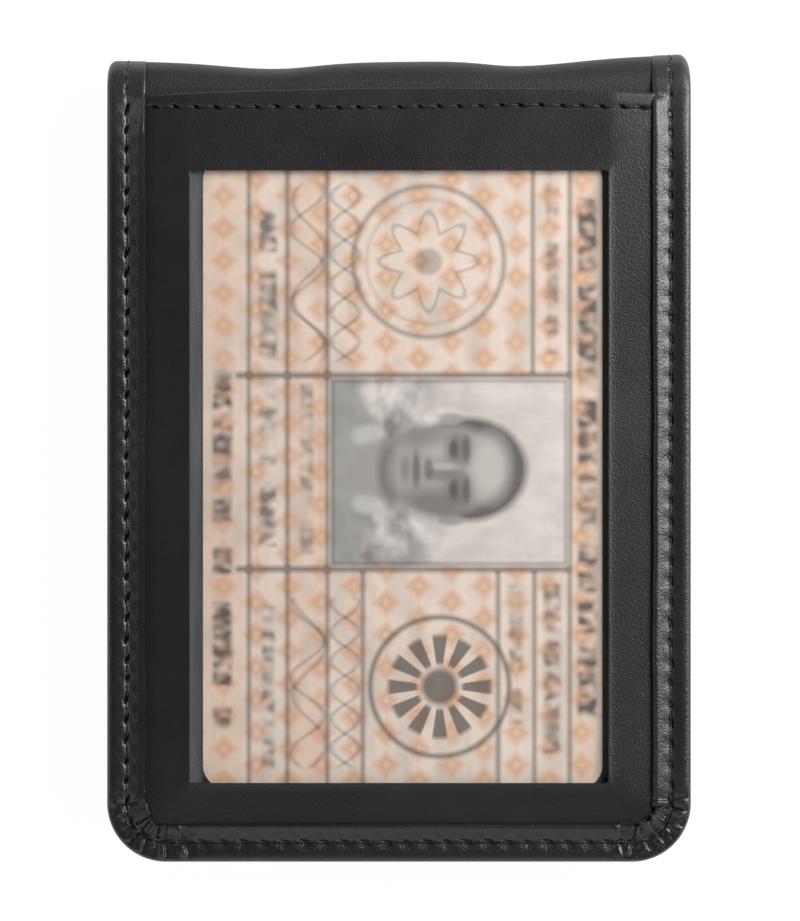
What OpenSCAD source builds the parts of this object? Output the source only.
// Two-leaf leather wallet for identity cards, folded back on itself so that one window faces up.
// Millimetres. +X across the wallet, +Y towards the fold, +Z up. The origin is the middle of the footprint, on the
// surface that the wallet lies on.

/* [Body] */
// Width over the turned edges
wallet_w = 79; // [70:0.5:95]
// Length of a leaf, from its free edge to where the fold starts to curve
leaf_len = 104.6; // [98:0.2:125]
// Radius of the two free corners of a leaf
corner_r = 8; // [7:0.1:10]

/* [Fold] */
// Radius of the smooth side of the leather inside the folded-back spine
fold_r = 1.6; // [1.3:0.05:3]
// Height of the crease line above the smooth face of a leaf
crease_h = 1.4; // [1.2:0.05:2]

/* [Shell] */
// Thickness of the outer leather
shell_t = 1; // [0.8:0.05:1.3]
// Thickness of the skived edge where it is turned over the inside
turn_t = 0.7; // [0.55:0.05:0.95]
// Width of the turned edge on the inside
turn_w = 5.2; // [4.4:0.1:6.4]

/* [Pleats] */
// Number of valleys between the pleats gathered at each free corner
valleys = 7; // [4:1:9]
// Radius of the valley between two pleats
valley_r = 0.22; // [0.1:0.02:0.3]

/* [Stiffener] */
// Thickness of the board between shell and lining
board_t = 0.4; // [0.3:0.05:0.6]
// Distance from a leaf's edge to the board's edge
board_inset = 6; // [5:0.1:8]
// Distance from the start of the fold to the board's end
board_setback = 4; // [3:0.1:6]

/* [Lining] */
// Thickness of the lining where no board lies under it
lining_t = 1.1; // [0.9:0.05:1.4]

/* [Window panel] */
// Thickness of the window panel's leather
panel_t = 0.8; // [0.65:0.05:1]
// Width of the slope that lifts the panel over the card
rise_w = 2; // [1.6:0.1:2.4]
// Width of the window
window_w = 56.6; // [48:0.1:59]
// Length of the window
window_l = 82.8; // [68:0.1:84]
// Distance from the leaf's free edge to the window
window_rise = 10.7; // [10:0.1:11.8]
// Radius of the window's corners
window_r = 0.6; // [0.4:0.1:1]
// Depth of the hem that is turned under at the pocket's mouth
hem_w = 3.6; // [3.2:0.1:4.2]
// Distance from the pocket's mouth to the start of the fold
hem_gap = 0.5; // [0.3:0.05:1]

/* [Clear sheet] */
// Thickness of the clear sheet behind the window
sheet_t = 0.25; // [0.2:0.01:0.4]

/* [Card] */
// Width of the card
card_w = 54; // [45:0.1:58]
// Length of the card
card_l = 85.6; // [72:0.1:87]
// Thickness of the card
card_t = 0.76; // [0.6:0.01:0.9]
// Radius of the card's corners
card_r = 3.2; // [2.5:0.1:4]
// Distance that the card sits off the wallet's centre line
card_shift = 0.5; // [0:0.05:1]
// Distance from the leaf's free edge to the card
card_rise = 9.9; // [9:0.1:11.5]
// Clearance above and below the card
card_slack = 0.06; // [0.05:0.01:0.1]

/* [Stitching] */
// Thickness of the thread
thread_d = 0.42; // [0.35:0.01:0.5]
// Distance from one stitch to the next
stitch_spacing = 2.75; // [2.2:0.05:3.3]
// Length of a stitch on the surface
stitch_l = 2.1; // [1.6:0.05:2.15]
// Distance from the edge to the seam that holds the turned edge
seam_inset = 2.7; // [2.3:0.05:3.2]
// Distance from the pocket's mouth to the hem's seam
hem_seam = 2.1; // [1.7:0.05:2.4]
// Radius of the groove that the stitches are pulled into
groove_r = 0.5; // [0.45:0.01:0.58]

/* [Hidden] */
$fn = 64;
// Overrun of a cut past the face that it opens
over = 0.5;
// Side clearance between pieces that lie next to each other in one leaf
side_gap = 0.05;
// Clearance under a stitch, so that thread and groove do not share a surface
seat_gap = 0.02;
// Smallest corner radius that a narrow outline keeps
least_r = 0.3;
// Distance from the turned edge's inner lip to the foot of the panel's slope
foot_gap = 0.2;
// Radius of the window sheet's corners
sheet_r = 1;

// Heights of the layers above the smooth face of a leaf
board_top = shell_t + board_t;
lining_top = shell_t + lining_t;
sheet_low = lining_top + card_t + 2 * card_slack;
sheet_top = sheet_low + sheet_t;
panel_low = lining_top;
panel_top = sheet_top + panel_t;
edge_top = panel_low + panel_t + turn_t;
spine_top = lining_top + turn_t;

// Places along and across the wallet
wallet_l = leaf_len + fold_r + spine_top;
low_y = -wallet_l / 2;
fold_y = low_y + leaf_len;
hem_y = fold_y - hem_gap;
hem_seam_y = hem_y - hem_seam;
window_y = low_y + window_rise;
card_y = low_y + card_rise;
half_w = wallet_w / 2;
mid_z = fold_r + panel_top;

// Distances in from a leaf's edge
layer_inset = edge_top / 2 + side_gap;
foot_inset = turn_w + foot_gap;
raised_inset = foot_inset + rise_w;

// Crease lines that the leaves turn about, as [y, z]
crease_y = fold_y + fold_r + crease_h;
front_crease = [crease_y, mid_z + fold_r + crease_h];
back_crease = [crease_y, mid_z - fold_r - crease_h];
echo(front_crease = front_crease, back_crease = back_crease, wallet_l = wallet_l, height = 2 * mid_z);

function corner_at(inset) = max(corner_r - inset, least_r);

// Places a leaf's piece in the upper leaf, which lies window up
module in_front() {
    translate([0, 0, mid_z + fold_r])
        children();
}

// Places the same piece in the lower leaf, which lies window down
module in_back() {
    translate([0, 0, mid_z - fold_r])
        mirror([0, 0, 1])
            children();
}

// Repeats a piece on both sides of the centre line
module both_sides() {
    children();
    mirror([1, 0, 0])
        children();
}

// Outline of a leaf drawn in by inset, with its two free corners round and its fold end square at end_y
module leaf_outline(inset, end_y) {
    r = corner_at(inset);
    x = half_w - inset;
    y = low_y + inset;
    translate([-x, y + r])
        square([2 * x, end_y - y - r]);
    translate([r - x, y])
        square([2 * (x - r), end_y - y]);
    for (side = [-1, 1])
        translate([side * (x - r), y + r])
            circle(r);
}

module leaf_plate(inset, low, top, end_y) {
    translate([0, 0, low])
        linear_extrude(top - low)
            leaf_outline(inset, end_y);
}

// A rectangle with four round corners, from its lower left corner
module round_rectangle(w, l, r) {
    translate([0, r])
        square([w, l - 2 * r]);
    translate([r, 0])
        square([w - 2 * r, l]);
    for (x = [r, w - r], y = [r, l - r])
        translate([x, y])
            circle(r);
}

// Groove that a seam is pulled into, at the surface height top, open upwards
module seam_groove(place, top) {
    translate([place, top])
        circle(groove_r);
    translate([place - groove_r, top])
        square([2 * groove_r, over]);
}

// Section of the turned edge: x is the distance in from the edge, y the height above the smooth face
module turned_section(top) {
    outer_r = top / 2;
    inner_r = (top - shell_t - turn_t) / 2;
    difference() {
        union() {
            translate([outer_r, outer_r])
                circle(outer_r);
            translate([outer_r, 0])
                square([turn_w - outer_r, top]);
        }
        translate([outer_r, shell_t + inner_r])
            circle(inner_r);
        translate([outer_r, shell_t])
            square([turn_w + over - outer_r, 2 * inner_r]);
        seam_groove(seam_inset, top);
    }
}

// A section carried straight along one side of a leaf
module along_side(start_y, end_y) {
    translate([half_w, end_y, 0])
        rotate([90, 0, 0])
            linear_extrude(end_y - start_y)
                mirror([1, 0])
                    children();
}

// A section carried straight along a leaf's free edge
module along_free_edge() {
    run = wallet_w - 2 * corner_r;
    translate([run / 2, low_y, 0])
        rotate([90, 0, -90])
            linear_extrude(run)
                mirror([1, 0])
                    children();
}

// A section carried round one free corner
module round_corner() {
    translate([half_w - corner_r, low_y + corner_r, 0])
        rotate(-90)
            rotate_extrude(angle = 90)
                translate([corner_r, 0])
                    mirror([1, 0])
                        children();
}

// Valleys between the pleats gathered at one free corner. Each runs along a radius of the corner, from the turned
// edge's inner lip to where the rim turns down and leaves it
module corner_valleys() {
    translate([half_w - corner_r, low_y + corner_r, edge_top])
        for (i = [0 : valleys - 1])
            rotate(90 * (i + 0.5) / valleys - 90)
                rotate([0, 90, 0])
                    cylinder(h = corner_r, r = valley_r);
}

// Outer leather of one leaf, with its edge turned over the inside on three sides
module leaf_shell() {
    color([0.16, 0.16, 0.16])
        difference() {
            union() {
                leaf_plate(edge_top / 2, 0, shell_t, fold_y);
                along_free_edge()
                    turned_section(edge_top);
                both_sides() {
                    along_side(low_y + corner_r, hem_y)
                        turned_section(edge_top);
                    along_side(hem_y, fold_y)
                        turned_section(spine_top);
                    round_corner()
                        turned_section(edge_top);
                }
            }
            both_sides()
                corner_valleys();
        }
}

module board(low, top, gap) {
    leaf_plate(board_inset - gap, low, top, fold_y - board_setback + gap);
}

module leaf_stiffener() {
    color([0.55, 0.47, 0.36])
        board(shell_t, board_top, 0);
}

// Inner leather of one leaf, which closes over the board
module leaf_lining() {
    color([0.22, 0.22, 0.21])
        difference() {
            leaf_plate(layer_inset, shell_t, lining_top, fold_y);
            board(shell_t - over, board_top, side_gap);
        }
}

// Block with sloping sides: wide at its foot, narrow at its top, and square at the pocket's mouth
module raised_block(foot, low, top, end_y) {
    x = half_w - foot;
    y = low_y + foot;
    intersection() {
        translate([0, end_y, 0])
            rotate([90, 0, 0])
                linear_extrude(end_y - low_y)
                    polygon([[-x, low], [x, low], [x - rise_w, top], [rise_w - x, top]]);
        translate([-half_w, 0, 0])
            rotate([90, 0, 90])
                linear_extrude(wallet_w)
                    polygon([[y, low], [end_y, low], [end_y, top], [y + rise_w, top]]);
        leaf_plate(foot, low, top, end_y);
    }
}

module window_opening(low, top) {
    translate([-window_w / 2, window_y, low])
        linear_extrude(top - low)
            round_rectangle(window_w, window_l, window_r);
}

// Leather panel with the window, lifted over the card and open at its hemmed mouth
module leaf_window_panel() {
    hem_r = (panel_t + sheet_t) / 2;
    hem_end = hem_y - hem_r;
    raised_w = wallet_w - 2 * raised_inset;
    color([0.19, 0.19, 0.19])
        difference() {
            union() {
                leaf_plate(layer_inset, panel_low, panel_low + panel_t, hem_end);
                raised_block(foot_inset, panel_low, panel_top, hem_end);
                translate([-raised_w / 2, hem_end, sheet_low + hem_r])
                    rotate([0, 90, 0])
                        cylinder(h = raised_w, r = hem_r);
            }
            difference() {
                raised_block(foot_inset + panel_t, panel_low, sheet_top, hem_end + over);
                translate([-half_w, hem_y - hem_w, sheet_low])
                    cube([wallet_w, hem_w + over, sheet_t]);
            }
            window_opening(sheet_low, panel_top + over);
            translate([-raised_w / 2, hem_seam_y, panel_top])
                rotate([0, 90, 0])
                    cylinder(h = raised_w, r = groove_r);
        }
}

// Clear sheet behind the window
module leaf_window_sheet() {
    inset = raised_inset + panel_t + side_gap;
    low = low_y + inset;
    color([0.75, 0.8, 0.82, 0.35])
        translate([inset - half_w, low, sheet_low])
            linear_extrude(sheet_t)
                round_rectangle(wallet_w - 2 * inset, hem_y - hem_w - side_gap - low, sheet_r);
}

// The part of one stitch that shows, lying along +X with its middle at the origin
module stitch() {
    rotate([0, 90, 0])
        cylinder(h = stitch_l, d = thread_d, center = true);
}

// Height of a stitch's middle in a groove whose surface is at top
function stitch_z(top) = top - groove_r + seat_gap + thread_d / 2;

// A straight row of stitches from start to end, which both lie in the plane of the seam
module stitch_row(start, end, z) {
    run = norm(end - start);
    count = max(1, round(run / stitch_spacing));
    for (i = [0 : count - 1])
        translate(concat(start + (end - start) * (i + 0.5) / count, z))
            rotate(atan2(end[1] - start[1], end[0] - start[0]))
                stitch();
}

// Stitches round one free corner
module corner_stitches(z) {
    r = corner_r - seam_inset;
    count = max(1, round(r * PI / 2 / stitch_spacing));
    for (i = [0 : count - 1]) {
        a = -90 + 90 * (i + 0.5) / count;
        translate([half_w - corner_r + r * cos(a), low_y + corner_r + r * sin(a), z])
            rotate(a + 90)
                stitch();
    }
}

// Seam that holds the turned edge of one leaf
module leaf_edge_thread() {
    x = half_w - seam_inset;
    z = stitch_z(edge_top);
    color([0.1, 0.1, 0.1]) {
        stitch_row([corner_r - half_w, low_y + seam_inset], [half_w - corner_r, low_y + seam_inset], z);
        both_sides() {
            stitch_row([x, low_y + corner_r], [x, hem_y], z);
            corner_stitches(z);
        }
    }
}

// Seam that holds the hem at the pocket's mouth
module leaf_hem_thread() {
    x = half_w - raised_inset;
    color([0.1, 0.1, 0.1])
        stitch_row([-x, hem_seam_y], [x, hem_seam_y], stitch_z(panel_top));
}

module id_card() {
    color([0.87, 0.76, 0.68])
        in_front()
            translate([card_shift - card_w / 2, card_y, lining_top + card_slack])
                linear_extrude(card_t)
                    round_rectangle(card_w, card_l, card_r);
}

// Turns a section about the fold's own axis, from the lower leaf round to the upper one.
// x of the section is the distance from that axis, y the place across the wallet
module round_fold() {
    translate([0, fold_y, mid_z])
        rotate([0, 90, 0])
            rotate_extrude(angle = 180)
                children();
}

// Section of the turned edge at the fold, at one side of the wallet
module fold_edge_section() {
    translate([fold_r, half_w])
        rotate(-90)
            turned_section(spine_top);
}

module spine_shell() {
    color([0.16, 0.16, 0.16])
        round_fold() {
            translate([fold_r, spine_top / 2 - half_w])
                square([shell_t, wallet_w - spine_top]);
            fold_edge_section();
            mirror([0, 1])
                fold_edge_section();
        }
}

module spine_lining() {
    x = half_w - layer_inset;
    color([0.22, 0.22, 0.21])
        round_fold()
            translate([fold_r + shell_t, -x])
                square([lining_t, 2 * x]);
}

// Stitches over the fold, on both turned edges
module spine_edge_thread() {
    r = fold_r + stitch_z(spine_top);
    count = max(1, round(r * PI / stitch_spacing));
    color([0.1, 0.1, 0.1])
        both_sides()
            for (i = [0 : count - 1]) {
                a = -90 + 180 * (i + 0.5) / count;
                translate([half_w - seam_inset, fold_y + r * cos(a), mid_z + r * sin(a)])
                    rotate([a + 90, 0, 0])
                        rotate(90)
                            stitch();
            }
}

in_front() leaf_shell();  // front_shell
in_front() leaf_stiffener();  // front_stiffener
in_front() leaf_lining();  // front_lining
in_front() leaf_window_sheet();  // front_window_sheet
in_front() leaf_window_panel();  // front_window_panel
in_front() leaf_edge_thread();  // front_edge_thread
in_front() leaf_hem_thread();  // front_hem_thread
id_card();
spine_shell();
spine_lining();
spine_edge_thread();
in_back() leaf_shell();  // back_shell
in_back() leaf_stiffener();  // back_stiffener
in_back() leaf_lining();  // back_lining
in_back() leaf_window_sheet();  // back_window_sheet
in_back() leaf_window_panel();  // back_window_panel
in_back() leaf_edge_thread();  // back_edge_thread
in_back() leaf_hem_thread();  // back_hem_thread
